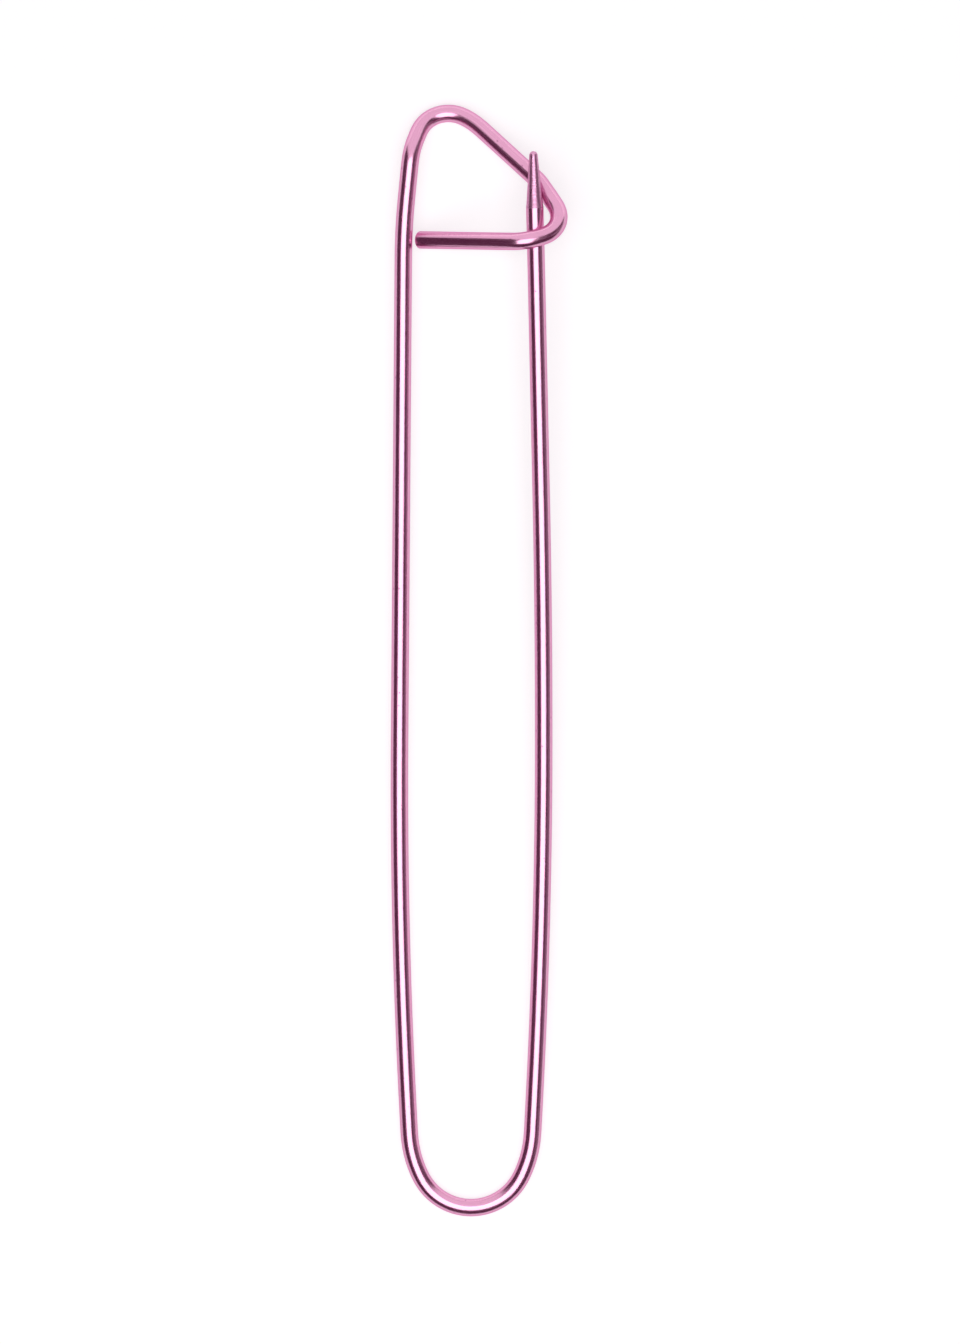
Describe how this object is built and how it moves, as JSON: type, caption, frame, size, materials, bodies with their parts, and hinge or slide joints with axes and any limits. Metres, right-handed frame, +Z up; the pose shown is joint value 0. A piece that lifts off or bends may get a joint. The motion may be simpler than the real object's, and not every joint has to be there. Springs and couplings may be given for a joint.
{
  "type": "stitch holder",
  "caption": "Long sprung wire loop that keeps knitting stitches on a straight needle leg, with a ground point that latches in a hooked clasp.",
  "frame": {"origin": "bottom of the holder as it lies flat, under the middle of its bounding box", "axes": "+Z up from the surface that it lies on, +Y along the legs from the spring bend to the crown, +X from the fixed leg to the needle"},
  "size_m": [0.0252, 0.1588, 0.0129],
  "materials": {
    "anodised_wire": "gloss",
    "ground_point": "satin"
  },
  "bodies": {
    "frame": {"clasp_bar": "anodised_wire", "clasp_bend": "anodised_wire", "clasp_ramp": "anodised_wire", "crown_bend": "anodised_wire", "fixed_leg": "anodised_wire", "spring_bend": "anodised_wire"},
    "needle": {"needle_leg": "anodised_wire", "needle_point": "ground_point"}
  },
  "joints": [
    {"name": "needle_squeeze", "type": "hinge", "parent": "frame", "child": "needle", "pos_m": [-0.00113, -0.07284, 0.00148], "axis": [-0.4226, 0, 0.9063], "range_deg": [0, 6], "stiffness_Nm_per_rad": 1, "deforming": ["spring_bend"]}
  ]
}
